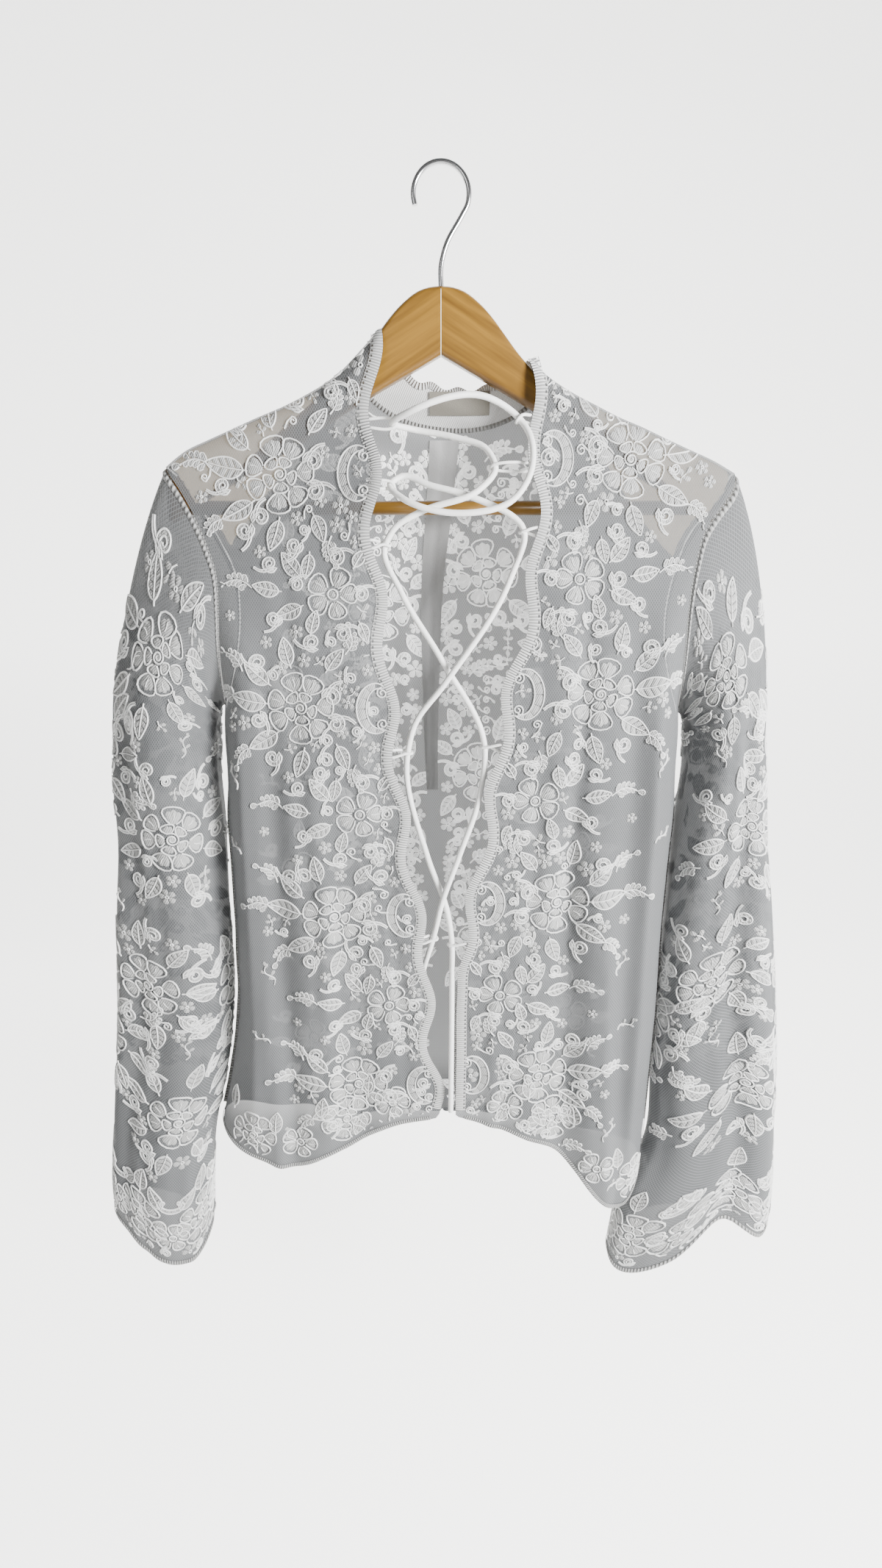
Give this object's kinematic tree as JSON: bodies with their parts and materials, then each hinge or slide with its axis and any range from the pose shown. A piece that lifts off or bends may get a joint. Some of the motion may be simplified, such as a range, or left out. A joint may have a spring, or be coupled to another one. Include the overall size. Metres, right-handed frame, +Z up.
{
  "type": "lace shirt on a hanger",
  "caption": "Collarless long-sleeved shirt of corded lace, open at the front and laced with a cord through thread loops, hung on a varnished wooden hanger",
  "frame": {"origin": "where the rod touches the inside of the hook's arc, at its top", "axes": "+X to the viewer's right along the hanger, +Y away from the viewer from front to back, +Z up"},
  "size_m": [0.5931, 0.0813, 0.871],
  "materials": {
    "lace": "corded lace on net, matt",
    "pad": "matt cotton over foam",
    "label": "woven, bare",
    "cord": "satin cloth tube",
    "wood": "clear varnish, satin",
    "metal": "polished wire"
  },
  "bodies": {
    "root": {"front_left": "lace", "front_right": "lace", "back_left": "lace", "back_right": "lace", "back_seam_allowance": "lace", "back_neck_band": "lace", "sleeve_left": "lace", "sleeve_right": "lace", "shoulder_pad_left": "pad", "shoulder_pad_right": "pad", "neck_label": "label", "lace_loop_left_1": "cord", "lace_loop_left_2": "cord", "lace_loop_left_3": "cord", "lace_loop_left_4": "cord", "lace_loop_left_5": "cord", "lace_loop_right_1": "cord", "lace_loop_right_2": "cord", "lace_loop_right_3": "cord", "lace_loop_right_4": "cord", "lace_loop_right_5": "cord", "lacing_cord": "cord", "hanger_arm_left": "wood", "hanger_arm_right": "wood", "hanger_bar": "wood", "hanger_hook": "metal"}
  },
  "joints": []
}
